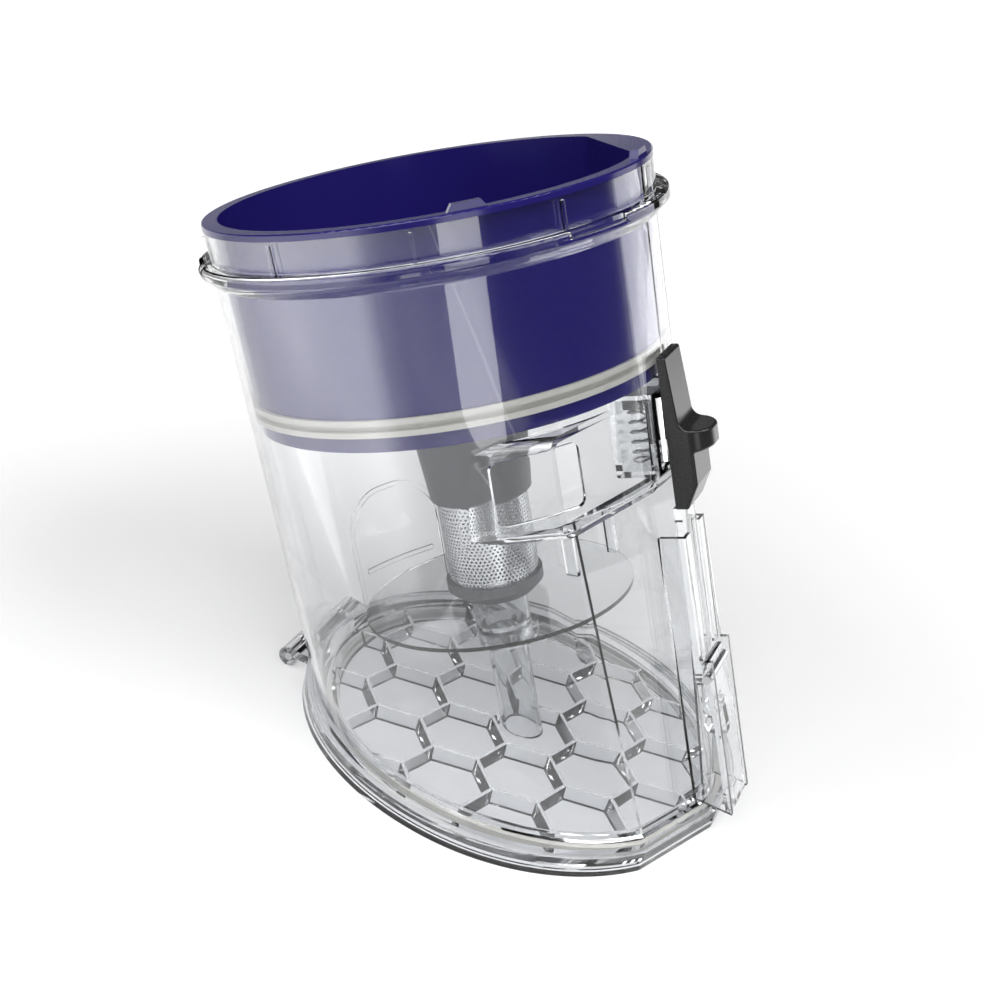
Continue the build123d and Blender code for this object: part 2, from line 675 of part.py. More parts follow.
# Grey ring that closes the foot of the screen
with BuildPart() as screen_end_ring:
    with BuildSketch(PROFILE):
        with BuildLine():
            Polyline(
                (HUB_R - HUB_T, ring_foot_h),
                (END_RING_FOOT_R, ring_foot_h),
                (SCREEN_R + END_RING_T, screen_foot_h),
                (SCREEN_R + END_RING_T, screen_foot_h + SCREEN_SEAT),
                (SCREEN_R, screen_foot_h + SCREEN_SEAT),
                (SCREEN_R, screen_foot_h),
                (HUB_R - HUB_T, screen_foot_h),
                close=True,
            )
        make_face()
    revolve(axis=AXIS)
screen_end_ring.part.label = "screen_end_ring"

# Clear shield disc with its hub
with BuildPart() as dust_shield:
    with BuildSketch(PROFILE):
        with BuildLine():
            Polyline(
                (HUB_R - HUB_T, ring_foot_h),
                (SHIELD_R, ring_foot_h),
                (SHIELD_R, shield_foot_h),
                (HUB_R, shield_foot_h),
                (HUB_R, hub_foot_h),
                (TUBE_R + SCREEN_FIT, hub_foot_h),
                (TUBE_R + SCREEN_FIT, hub_foot_h + TUBE_SEAT),
                (TUBE_R - TUBE_T, hub_foot_h + TUBE_SEAT),
                (HUB_R - HUB_T, hub_foot_h + 2 * TUBE_SEAT),
                close=True,
            )
        make_face()
    revolve(axis=AXIS)
dust_shield.part.label = "dust_shield"

# Clear tube from the hub to the door, its end cut along the door
with BuildPart() as centre_tube:
    with BuildSketch(PROFILE):
        with BuildLine():
            Polyline(
                (TUBE_R - TUBE_T, -2 * TUBE_R),
                (TUBE_R, -2 * TUBE_R),
                (TUBE_R, hub_foot_h + TUBE_SEAT),
                (TUBE_R - TUBE_T, hub_foot_h + TUBE_SEAT),
                close=True,
            )
        make_face()
    revolve(axis=AXIS)
    split(bisect_by=Plane.XY.offset(PANEL_T + TUBE_GAP), keep=Keep.TOP)
centre_tube.part.label = "centre_tube"

# Door with its honeycomb of ribs, skewed spigot, rim band, knuckle and strike
cell_pitch = CELL_SIDE * sqrt(3)
with BuildPart() as bottom_door:
    with BuildSketch(slice_at(PANEL_T)):
        foot_section(spigot_r - SPIGOT_T / 2, spigot_land - SPIGOT_T / 2)
    extrude(amount=CELL_RIB_H / cos(lean), dir=AXIS_DIR)
    with BuildSketch(Plane.XY.offset(PANEL_T + CELL_RIB_H)):
        reach = int(door_r / cos(lean) / cell_pitch) + 2
        for column in range(-reach, reach + 1):
            for row in range(-reach, reach + 1):
                first = radians(CELL_TURN + 30)
                second = radians(CELL_TURN + 90)
                cell_x = CELL_SHIFT_X + cell_pitch * (column * cos(first) + row * cos(second))
                cell_y = CELL_SHIFT_Y + cell_pitch * (column * sin(first) + row * sin(second))
                if hypot(cell_x * cos(lean), cell_y) < door_r + CELL_SIDE / 2:
                    with Locations((cell_x, cell_y)):
                        RegularPolygon(CELL_SIDE - CELL_RIB_W / sqrt(3), 6, rotation=CELL_TURN)
    extrude(amount=-CELL_RIB_H, taper=CELL_DRAFT, mode=Mode.SUBTRACT)
    # Room in the ribs for the leaning tube, also while the door drops away from it
    for way in (AXIS_DIR, Vector(0, 0, 1)):
        with BuildSketch(slice_at(PANEL_T)):
            Ellipse((TUBE_R + TUBE_CLEAR) / cos(lean), TUBE_R + TUBE_CLEAR)
        extrude(amount=2 * CELL_RIB_H, dir=way, mode=Mode.SUBTRACT)
    with BuildSketch(slice_at(PANEL_T)):
        foot_section(spigot_r, spigot_land)
        with BuildSketch(slice_at(PANEL_T), mode=Mode.SUBTRACT):
            foot_section(spigot_r - SPIGOT_T, spigot_land - SPIGOT_T)
    extrude(amount=SPIGOT_H / cos(lean), dir=AXIS_DIR)
    with BuildSketch(Plane.XY):
        door_outline(door_r, door_land)
    extrude(amount=PANEL_T)
    with BuildSketch(Plane.XY.offset(PANEL_T)):
        door_outline(door_r - DOOR_BAND_STEP, door_land - DOOR_BAND_STEP)
        with BuildSketch(Plane.XY.offset(PANEL_T), mode=Mode.SUBTRACT):
            band_inset = DOOR_BAND_STEP + DOOR_BAND_W
            door_outline(door_r - band_inset, door_land - band_inset)
    extrude(amount=DOOR_BAND_T)
    with BuildSketch(Plane.XZ):
        with Locations((hinge_x, HINGE_Z)):
            Circle(KNUCKLE_R)
        with Locations((hinge_x, HINGE_Z - KNUCKLE_R)):
            Rectangle(
                KNUCKLE_R + KNUCKLE_GAP + DOOR_BAND_STEP + DOOR_BAND_W,
                PANEL_T + DOOR_BAND_T - HINGE_Z + KNUCKLE_R,
                align=(Align.MIN, Align.MIN),
            )
    extrude(amount=DOOR_KNUCKLE_W / 2, both=True)
    with BuildSketch(Plane.XZ):
        with Locations((hinge_x, HINGE_Z)):
            Circle(HINGE_PIN_R + RUNNING_GAP)
    extrude(amount=DOOR_KNUCKLE_W, both=True, mode=Mode.SUBTRACT)
    with BuildSketch(Plane.YZ.offset(strike_x)):
        with Locations((0, PANEL_T / 2)):
            Rectangle(STRIKE_W, PANEL_T / 2 + STRIKE_H, align=(Align.CENTER, Align.MIN))
        with Locations((0, window_top_z)):
            Rectangle(STRIKE_WINDOW_W, STRIKE_WINDOW_H, align=(Align.CENTER, Align.MAX), mode=Mode.SUBTRACT)
    extrude(amount=STRIKE_T)
bottom_door.part.label = "bottom_door"

# Soft seal laid on the door round its spigot
with BuildPart() as door_gasket:
    with BuildSketch(slice_at(PANEL_T)):
        foot_section(
            spigot_r + DOOR_SEAL_GAP + DOOR_SEAL_W, spigot_land + DOOR_SEAL_LAND_GAP + DOOR_SEAL_W
        )
        with BuildSketch(slice_at(PANEL_T), mode=Mode.SUBTRACT):
            foot_section(spigot_r + DOOR_SEAL_GAP, spigot_land + DOOR_SEAL_LAND_GAP)
    extrude(amount=DOOR_SEAL_T)
door_gasket.part.label = "door_gasket"

# Steel pin of the door hinge
with BuildPart() as hinge_pin:
    with BuildSketch(Plane.XZ):
        with Locations((hinge_x, HINGE_Z)):
            Circle(HINGE_PIN_R)
    extrude(amount=DOOR_KNUCKLE_W / 2 + KNUCKLE_SIDE_GAP + BODY_KNUCKLE_W, both=True)
hinge_pin.part.label = "hinge_pin"

# Black thumb slider with its ledge, neck, inner tee and spring foot
with BuildPart() as release_slider:
    with BuildSketch(PROFILE) as slider_profile:
        with BuildLine():
            Polyline(
                (slider_back_r, height(SLIDER_TOP_DEPTH)),
                (slider_back_r + SLIDER_TOP_T, height(SLIDER_TOP_DEPTH)),
                slider_waist,
                (ledge_r, ledge_h),
                (ledge_r, ledge_h - LEDGE_T),
                (slider_block_r, ledge_h - LEDGE_T - LEDGE_STEP),
                (slider_block_r, slider_foot_h + 2 * SLIDER_CHAMFER),
                (slider_block_r - SLIDER_CHAMFER, slider_foot_h),
                (slider_back_r, slider_foot_h),
                close=True,
            )
        make_face()
        fillet(slider_profile.vertices().sort_by_distance(slider_waist)[0], LEDGE_ROOT)
    extrude(amount=SLIDER_W / 2, both=True)
    ledge_edges = release_slider.edges().filter_by(AXIS).group_by(Axis((0, 0, 0), OUT_DIR))[-1]
    fillet(ledge_edges, LEDGE_ROUND)
    back_face = release_slider.faces().group_by(Axis((0, 0, 0), OUT_DIR))[0]
    fillet(release_slider.edges() - back_face.edges(), SLIDER_EDGE)
    with BuildSketch(level(neck_top_h)):
        with Locations((tee_r, 0)):
            Rectangle(
                slider_back_r + SLIDER_TOP_T / 2 - tee_r,
                SLOT_W - 2 * SLIDE_GAP,
                align=(Align.MIN, Align.CENTER),
            )
            Rectangle(TEE_T, POCKET_W - 2 * TEE_GAP, align=(Align.MIN, Align.CENTER))
    extrude(amount=-NECK_H)
    with BuildSketch(level(neck_top_h)):
        with Locations((tee_r + TEE_T / 2, 0)):
            Rectangle(
                tee_r + TEE_T / 2 - spring_x + SPRING_R + SPRING_WIRE / 2,
                FOOT_W,
                align=(Align.MAX, Align.CENTER),
            )
    extrude(amount=-FOOT_T)
release_slider.part.label = "release_slider"

# Wire spring between the pocket floor and the slider's foot
spring_low_h = height(POCKET_FOOT_DEPTH) + SPRING_GAP + SPRING_WIRE / 2
spring_high_h = neck_top_h - FOOT_T - SPRING_GAP - SPRING_WIRE / 2
with BuildPart() as return_spring:
    with BuildLine():
        coil = Helix(
            (spring_high_h - spring_low_h) / SPRING_TURNS,
            spring_high_h - spring_low_h,
            SPRING_R,
            center=OUT_DIR * spring_x + AXIS_DIR * spring_low_h,
            direction=AXIS_DIR,
        )
    with BuildSketch(Plane(origin=coil @ 0, z_dir=coil % 0)):
        RegularPolygon(SPRING_WIRE / 2, 6)
    sweep()
return_spring.part.label = "return_spring"

# Push rod, forked at its foot, with a peg across the fork
with BuildPart() as push_rod:
    with BuildSketch(level(slider_foot_h)):
        with Locations((rod_back_r, 0)):
            Rectangle(ROD_T, ROD_W, align=(Align.MIN, Align.CENTER))
    extrude(amount=fork_top_h - slider_foot_h)
    prong_y = FIN_T / 2 + FORK_GAP + PRONG_W / 2
    for side in (-1, 1):
        with BuildSketch(PROFILE.offset(-side * prong_y)):
            with BuildLine():
                Polyline(
                    (rod_back_r, fork_top_h + ROD_T),
                    (rod_front_r, fork_top_h + ROD_T),
                    (rod_front_r, PEG_H + 3 * PEG_R),
                    (peg_x + PEG_R, PEG_H + PEG_R),
                    (peg_x + PEG_R, PEG_H - PEG_R),
                    (peg_x, PEG_H - 2 * PEG_R),
                    (rod_back_r + PEG_R, PEG_H - 2 * PEG_R),
                    (rod_back_r, PEG_H),
                    close=True,
                )
            make_face()
        extrude(amount=PRONG_W / 2, both=True)
    with BuildSketch(PROFILE):
        with Locations((peg_x, PEG_H)):
            Circle(PEG_R)
    extrude(amount=prong_y, both=True)
push_rod.part.label = "push_rod"


def peg_in_catch(travel):
    """Where the peg lies in the resting catch when the slider has gone down by a travel."""
    turn = radians(CATCH_TURN) * travel / TRAVEL
    arm_x = peg_x - pivot_r
    arm_h = PEG_H - travel - CATCH_PIVOT_H
    return (
        pivot_r + arm_x * cos(turn) + arm_h * sin(turn),
        CATCH_PIVOT_H - arm_x * sin(turn) + arm_h * cos(turn),
    )


# Catch that hangs on its pin with its hook at the strike, and a fin slotted for the peg
slot_path = [peg_in_catch(TRAVEL * step / 4) for step in range(5)]
with BuildPart() as door_catch:
    with BuildSketch(PROFILE):
        with BuildLine():
            Polyline(
                (pivot_r - CATCH_BOSS_R, CATCH_PIVOT_H + CATCH_TAIL),
                (pivot_r, CATCH_PIVOT_H + CATCH_TAIL),
                (catch_hip_r, CATCH_HIP_H),
                (catch_hip_r, seam_height(catch_hip_r, CHEEK_FOOT_Z)),
                hook_foot,
                hook_top,
                (catch_hip_r - CATCH_T, hook_top[1] + HOOK_RISE),
                (catch_hip_r - CATCH_T, CATCH_HIP_H),
                close=True,
            )
        make_face()
        with Locations(pivot):
            Circle(CATCH_BOSS_R)
    extrude(amount=CATCH_W / 2, both=True)
    with BuildSketch(PROFILE):
        with BuildLine():
            Polyline(
                (catch_hip_r - CATCH_T / 2, slot_path[0][1] + 3 * PEG_R),
                (slot_path[0][0] - PEG_R - PEG_GAP - FIN_WALL, slot_path[0][1] + PEG_R + PEG_GAP + FIN_WALL),
                (slot_path[-1][0] - PEG_R - PEG_GAP - FIN_WALL, slot_path[-1][1]),
                (slot_path[-1][0] - PEG_R, slot_path[-1][1] - PEG_R - PEG_GAP - FIN_WALL),
                (catch_hip_r - CATCH_T / 2, slot_path[-1][1] - 3 * PEG_R),
                close=True,
            )
        make_face()
    extrude(amount=FIN_T / 2, both=True)
    # The hook is only as wide as the strike's window
    for side in (-1, 1):
        with BuildSketch(PROFILE.offset(-side * (CATCH_W / 2))):
            with BuildLine():
                Polyline(
                    (0, hook_top[1] + HOOK_RISE),
                    (catch_hip_r - CATCH_T, hook_top[1] + HOOK_RISE),
                    (catch_hip_r - CATCH_T, low_h),
                    (0, low_h),
                    close=True,
                )
            make_face()
        extrude(amount=side * (CATCH_W / 2 - STRIKE_WINDOW_W / 2 + HOOK_FIT), mode=Mode.SUBTRACT)
    with BuildSketch(PROFILE):
        with BuildLine():
            for peg_point in slot_path:
                CenterArc(peg_point, PEG_R + PEG_GAP, 0, 360)
        make_hull()
    extrude(amount=FIN_T, both=True, mode=Mode.SUBTRACT)
    with BuildSketch(PROFILE):
        with Locations(pivot):
            Circle(CATCH_PIN_R + RUNNING_GAP)
    extrude(amount=CATCH_W, both=True, mode=Mode.SUBTRACT)
door_catch.part.label = "door_catch"

# Steel pin of the catch
with BuildPart() as catch_pin:
    pin_half = cheek_y + CHEEK_T / 2
    with BuildSketch(PROFILE):
        with Locations(pivot):
            Circle(CATCH_PIN_R)
    extrude(amount=pin_half, both=True)
    with BuildSketch(PROFILE.offset(pin_half)):
        with Locations(pivot):
            Circle(PIN_HEAD_R)
    extrude(amount=PIN_HEAD_T)
catch_pin.part.label = "catch_pin"

os.makedirs("parts", exist_ok=True)
export_step(bin_body.part, "parts/bin_body.step")
export_step(filter_bowl.part, "parts/filter_bowl.step")
export_step(bowl_gasket.part, "parts/bowl_gasket.step")
export_step(cyclone_cone.part, "parts/cyclone_cone.step")
export_step(mesh_screen.part, "parts/mesh_screen.step")
export_step(screen_end_ring.part, "parts/screen_end_ring.step")
export_step(dust_shield.part, "parts/dust_shield.step")
export_step(centre_tube.part, "parts/centre_tube.step")
export_step(bottom_door.part, "parts/bottom_door.step")
export_step(door_gasket.part, "parts/door_gasket.step")
export_step(hinge_pin.part, "parts/hinge_pin.step")
export_step(release_slider.part, "parts/release_slider.step")
export_step(return_spring.part, "parts/return_spring.step")
export_step(push_rod.part, "parts/push_rod.step")
export_step(door_catch.part, "parts/door_catch.step")
export_step(catch_pin.part, "parts/catch_pin.step")
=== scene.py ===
"""Looks of a clear cyclone dust bin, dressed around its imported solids.

The solids come in as a fixed frame, in metres. Each class below holds the sizes of one sub-assembly,
one finish or one part of the studio, and builds it.
"""

import logging
import math
from dataclasses import dataclass
from enum import Enum
from typing import Any

import bmesh
import bpy
import numpy as np
from mathutils import Matrix, Vector

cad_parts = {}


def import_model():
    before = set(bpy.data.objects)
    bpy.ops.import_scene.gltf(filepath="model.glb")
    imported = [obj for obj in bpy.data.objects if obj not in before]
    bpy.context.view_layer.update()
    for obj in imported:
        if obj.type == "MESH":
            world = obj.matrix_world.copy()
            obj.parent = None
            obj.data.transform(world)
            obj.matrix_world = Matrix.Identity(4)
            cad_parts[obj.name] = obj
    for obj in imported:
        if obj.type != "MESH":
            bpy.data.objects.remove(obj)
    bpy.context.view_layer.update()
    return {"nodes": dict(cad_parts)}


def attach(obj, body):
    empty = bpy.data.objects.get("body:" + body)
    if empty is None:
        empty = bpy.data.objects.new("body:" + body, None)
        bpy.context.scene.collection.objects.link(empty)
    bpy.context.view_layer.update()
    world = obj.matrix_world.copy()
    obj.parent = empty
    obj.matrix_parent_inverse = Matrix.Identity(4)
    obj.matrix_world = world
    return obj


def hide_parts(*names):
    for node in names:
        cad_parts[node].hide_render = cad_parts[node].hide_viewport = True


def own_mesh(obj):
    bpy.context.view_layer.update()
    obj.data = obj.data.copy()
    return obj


LOG = logging.getLogger("dust_bin")
MM = 0.001

# How far the canister's axis leans from upright
LEAN_DEG = 24.0

# Corners of a cell, and of a hole, in the perforated sheet
HEX_CORNERS = 6

# Watts per square metre that give the face of an area lamp a brightness of one
LAMP_WATTS = 4.0


def linear(hex_colour: str) -> tuple[float, float, float, float]:
    """Turns an sRGB hex value into linear colour.

    Args:
        hex_colour: Six hex digits after a hash sign.

    Returns:
        Linear red, green and blue, and an alpha of one.
    """
    srgb = np.array([int(hex_colour[i:i + 2], 16) for i in (1, 3, 5)]) / 255.0
    low = srgb / 12.92
    high = ((srgb + 0.055) / 1.055) ** 2.4
    rgb = np.where(srgb <= 0.04045, low, high)
    return (float(rgb[0]), float(rgb[1]), float(rgb[2]), 1.0)


def lean_matrix() -> np.ndarray:
    """Works out the turn that leans the bin's own upright frame into the row frame.

    Rows of points go from the bin's frame to the row frame by a product with its transpose, and back
    by a product with the matrix itself.

    Returns:
        A rotation by the lean about the second axis.
    """
    lean = math.radians(LEAN_DEG)
    cos, sin = math.cos(lean), math.sin(lean)
    return np.array([[cos, 0.0, -sin], [0.0, 1.0, 0.0], [sin, 0.0, cos]])


def bin_points(solid: bpy.types.Object) -> np.ndarray:
    """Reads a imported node's corners in the bin's own frame, whose third axis runs up the canister.

    Args:
        solid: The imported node.

    Returns:
        Rows of x, y and z.
    """
    corners = np.empty(len(solid.data.vertices) * 3)
    solid.data.vertices.foreach_get("co", corners)
    return corners.reshape(-1, 3) @ lean_matrix()


def add_node(
    tree: bpy.types.NodeTree,
    kind: str,
    settings: dict[str | int, Any] | None = None,
    links: dict[str | int, bpy.types.NodeSocket] | None = None,
) -> bpy.types.Node:
    """Adds a node, sets its properties and sockets, and links its inputs.

    Args:
        tree: The node tree that gets the node.
        kind: Blender's name of the node type.
        settings: Values of its input sockets, by name or place, and of its own properties, by name.
        links: Output sockets that feed its input sockets, by name or place.

    Returns:
        The new node.
    """
    node = tree.nodes.new(kind)
    for key, value in (settings or {}).items():
        if isinstance(key, int) or key in node.inputs:
            node.inputs[key].default_value = value
        else:
            setattr(node, key, value)
    for key, socket in (links or {}).items():
        tree.links.new(socket, node.inputs[key])
    return node


def new_material(name: str) -> tuple[bpy.types.Material, bpy.types.NodeTree]:
    """Makes an empty node material.

    Args:
        name: The material's name.

    Returns:
        The material and its node tree.
    """
    material = bpy.data.materials.new(name)
    material.use_nodes = True
    material.node_tree.nodes.clear()
    return material, material.node_tree


@dataclass(frozen=True)
class ClearPlastic:
    """Clear styrene-acrylonitrile from a polished mould.

    The flow is the faint waviness that the melt leaves in the walls.
    """

    name: str = "clear_san_moulded"
    colour: str = "#F4F5F6"
    shade: str = "#F8F8F9"
    ior: float = 1.57
    roughness: float = 0.015
    flow_mm: float = 30.0
    flow_height_mm: float = 0.02
    flow_strength: float = 0.3

    def material(self) -> bpy.types.Material:
        """Builds the material; lamps shine through it, so what stands inside is lit.

        Returns:
            The new material.
        """
        material, tree = new_material(self.name)
        place = add_node(tree, "ShaderNodeTexCoord")
        flow = add_node(
            tree,
            "ShaderNodeTexNoise",
            {"Scale": 1.0 / (self.flow_mm * MM), "Detail": 1.0},
            {"Vector": place.outputs["Object"]},
        )
        bump = add_node(
            tree,
            "ShaderNodeBump",
            {"Strength": self.flow_strength, "Distance": self.flow_height_mm * MM},
            {"Height": flow.outputs["Fac"]},
        )
        plastic = add_node(
            tree,
            "ShaderNodeBsdfPrincipled",
            {
                "Base Color": linear(self.colour),
                "Roughness": self.roughness,
                "IOR": self.ior,
                "Transmission Weight": 1.0,
            },
            {"Normal": bump.outputs["Normal"]},
        )
        path = add_node(tree, "ShaderNodeLightPath")
        through = add_node(tree, "ShaderNodeBsdfTransparent", {"Color": linear(self.shade)})
        mix = add_node(
            tree,
            "ShaderNodeMixShader",
            links={0: path.outputs["Is Shadow Ray"], 1: plastic.outputs[0], 2: through.outputs[0]},
        )
        add_node(tree, "ShaderNodeOutputMaterial", links={"Surface": mix.outputs[0]})
        return material


@dataclass(frozen=True)
class SolidFinish:
    """An opaque moulded, rolled or drawn surface with a fine grain in its colour, gloss and relief.

    The grain of the real surfaces is finer, and is drawn this coarse so that it shows.
    """

    name: str
    colour: str
    colour_worn: str
    roughness: float
    roughness_spread: float
    metallic: float
    grain_mm: float
    relief_mm: float
    relief_strength: float = 0.4
    cloud_grains: float = 20.0

    def material(self) -> bpy.types.Material:
        """Builds the material from two noises, one broad for the colour and one fine for the grain.

        Returns:
            The new material.
        """
        material, tree = new_material(self.name)
        place = add_node(tree, "ShaderNodeTexCoord")
        broad = add_node(
            tree,
            "ShaderNodeTexNoise",
            {"Scale": 1.0 / (self.cloud_grains * self.grain_mm * MM), "Detail": 3.0},
            {"Vector": place.outputs["Object"]},
        )
        fine = add_node(
            tree,
            "ShaderNodeTexNoise",
            {"Scale": 1.0 / (self.grain_mm * MM), "Detail": 2.0},
            {"Vector": place.outputs["Object"]},
        )
        colour = add_node(
            tree,
            "ShaderNodeMix",
            {"data_type": "RGBA", 6: linear(self.colour), 7: linear(self.colour_worn)},
            {"Factor": broad.outputs["Fac"]},
        )
        gloss = add_node(
            tree,
            "ShaderNodeMapRange",
            {
                "To Min": self.roughness - self.roughness_spread,
                "To Max": self.roughness + self.roughness_spread,
            },
            {"Value": fine.outputs["Fac"]},
        )
        bump = add_node(
            tree,
            "ShaderNodeBump",
            {"Strength": self.relief_strength, "Distance": self.relief_mm * MM},
            {"Height": fine.outputs["Fac"]},
        )
        surface = add_node(
            tree,
            "ShaderNodeBsdfPrincipled",
            {"Metallic": self.metallic},
            {
                "Base Color": colour.outputs[2],
                "Roughness": gloss.outputs["Result"],
                "Normal": bump.outputs["Normal"],
            },
        )
        add_node(tree, "ShaderNodeOutputMaterial", links={"Surface": surface.outputs[0]})
        return material


class Finish(Enum):
    """The finishes of the bin's pieces, by their slot in the record."""

    # Polished clear walls: what stands inside shows through, between dark and bright edge lines
    CLEAR = ("clear_plastic", ClearPlastic())
    # Plastic from a polished mould: one deep even colour under clear reflections
    INDIGO = (
        "indigo_plastic",
        SolidFinish("indigo_abs_gloss", "#1F1962", "#221C68", 0.16, 0.02, 0.0, 0.6, 0.0006),
    )
    # Soft moulded rubber: pale and matt, with wide dull highlights
    RUBBER = (
        "grey_rubber",
        SolidFinish("grey_tpe_matt", "#CFCEC8", "#C4C3BD", 0.55, 0.06, 0.0, 0.5, 0.01),
    )
    # Plastic from a finely etched mould: an even grey with a satin sheen
    GREY = (
        "grey_plastic",
        SolidFinish("grey_abs_satin", "#6E6F71", "#68696B", 0.38, 0.05, 0.0, 0.5, 0.008),
    )
    # Thin rolled sheet: bright bands run up the tube, broken by its holes
    SCREEN = (
        "screen_steel",
        SolidFinish("etched_steel_sheet", "#D9DADC", "#CFD0D2", 0.26, 0.05, 1.0, 0.4, 0.003),
    )
    # Drawn wire: bright metal, a little dulled by the die
    STEEL = (
        "pin_steel",
        SolidFinish("drawn_steel_wire", "#C4C5C7", "#B7B8BA", 0.28, 0.06, 1.0, 0.3, 0.003),
    )
    # Plastic from a polished mould, handled often: near black, with soft bright edges
    BLACK = (
        "black_plastic",
        SolidFinish("black_abs_gloss", "#1E1E1F", "#232324", 0.28, 0.05, 0.0, 0.35, 0.004),
    )

    @property
    def slot(self) -> str:
        """The record's material slot."""
        return self.value[0]

    @property
    def recipe(self) -> ClearPlastic | SolidFinish:
        """The finish that builds the material."""
        return self.value[1]


class Paints:
    """Builds each finish once and hands it out."""

    def __init__(self) -> None:
        """Starts with no material built."""
        self._made: dict[Finish, bpy.types.Material] = {}

    def get(self, finish: Finish) -> bpy.types.Material:
        """Gives the material of a finish, built on first use.

        Args:
            finish: The finish asked for.

        Returns:
            Its material.
        """
        if finish not in self._made:
            self._made[finish] = finish.recipe.material()
        return self._made[finish]

    def dress(self, piece: bpy.types.Object, finish: Finish) -> None:
        """Gives a piece a finish as its only material.

        Args:
            piece: The object to dress.
            finish: Its finish.
        """
        piece.data.materials.clear()
        piece.data.materials.append(self.get(finish))

    def stand_in(self, mesh: bpy.types.Mesh, node: str, finish: Finish) -> bpy.types.Object:
        """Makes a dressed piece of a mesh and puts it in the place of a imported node.

        Args:
            mesh: The piece's mesh, which gives it its name.
            node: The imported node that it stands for.
            finish: Its finish.

        Returns:
            The new piece, which rides on the bin.
        """
        piece = bpy.data.objects.new(mesh.name, mesh)
        bpy.context.scene.collection.objects.link(piece)
        self.dress(piece, finish)
        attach(piece, "bin")
        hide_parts(node)
        return piece


@dataclass
class CoreScreen:
    """The core's perforated sheet, rolled into a tube, with staggered holes all over it."""

    node: str = "mesh_screen"
    holes_round: int = 68
    hole_share: float = 0.6
    sheet_mm: float = 0.35
    merge_mm: float = 0.01

    def sheet(self, radius: float, low: float, high: float) -> tuple[np.ndarray, np.ndarray]:
        """Works out the pierced sheet as hexagonal cells, each a ring of six faces round a hole.

        A cell's centre steps round the tube by one pitch and up it by 0.866 of a pitch, and every other
        row is shifted by half a pitch. Corner k of a cell or hole lies at 60 k + 30 degrees from it.

        Args:
            radius: The tube's outer radius.
            low: Where the first row starts.
            high: Where the last row ends.

        Returns:
            The corners in the row frame, and the faces that join them.
        """
        pitch = 2.0 * math.pi * radius / self.holes_round
        rise = pitch * math.sqrt(0.75)
        rows = int((high - low - pitch) / rise)
        row, column = np.meshgrid(np.arange(rows), np.arange(self.holes_round), indexing="ij")
        around = (column + 0.5 * (row % 2)).ravel() * pitch
        along = low + pitch / 2.0 + row.ravel() * rise
        angle = np.radians(360.0 / HEX_CORNERS * (np.arange(HEX_CORNERS) + 0.5))
        reach = np.array([pitch / math.sqrt(3.0), pitch * self.hole_share / 2.0])
        flat_u = around[:, None, None] + reach[None, :, None] * np.cos(angle)
        flat_v = along[:, None, None] + reach[None, :, None] * np.sin(angle)
        turned = flat_u / radius
        placed = np.stack([radius * np.cos(turned), radius * np.sin(turned), flat_v], axis=-1)
        first = np.arange(len(around))[:, None] * 2 * HEX_CORNERS
        inner = first + HEX_CORNERS
        step = np.arange(HEX_CORNERS)[None, :]
        ahead = (step + 1) % HEX_CORNERS
        faces = np.stack([first + step, first + ahead, inner + ahead, inner + step], axis=-1)
        return placed.reshape(-1, 3) @ lean_matrix().T, faces.reshape(-1, 4)

    def build(self, solid: bpy.types.Object, paints: Paints) -> None:
        """Makes the sheet, gives it its thickness and puts it in the solid's place.

        Args:
            solid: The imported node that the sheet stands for.
            paints: The finishes.
        """
        placed = bin_points(solid)
        radius = np.hypot(placed[:, 0], placed[:, 1]).max()
        corners, faces = self.sheet(radius, placed[:, 2].min(), placed[:, 2].max())
        mesh = bpy.data.meshes.new("screen_sheet")
        mesh.from_pydata(corners.tolist(), [], faces.tolist())
        shape = bmesh.new()
        shape.from_mesh(mesh)
        bmesh.ops.remove_doubles(shape, verts=shape.verts, dist=self.merge_mm * MM)
        shape.to_mesh(mesh)
        shape.free()
        piece = paints.stand_in(mesh, self.node, Finish.SCREEN)
        wall = piece.modifiers.new("sheet_thickness", "SOLIDIFY")
        wall.thickness = self.sheet_mm * MM
        wall.offset = -1.0
        LOG.info("pierced screen_sheet with %d holes", len(faces) // HEX_CORNERS)


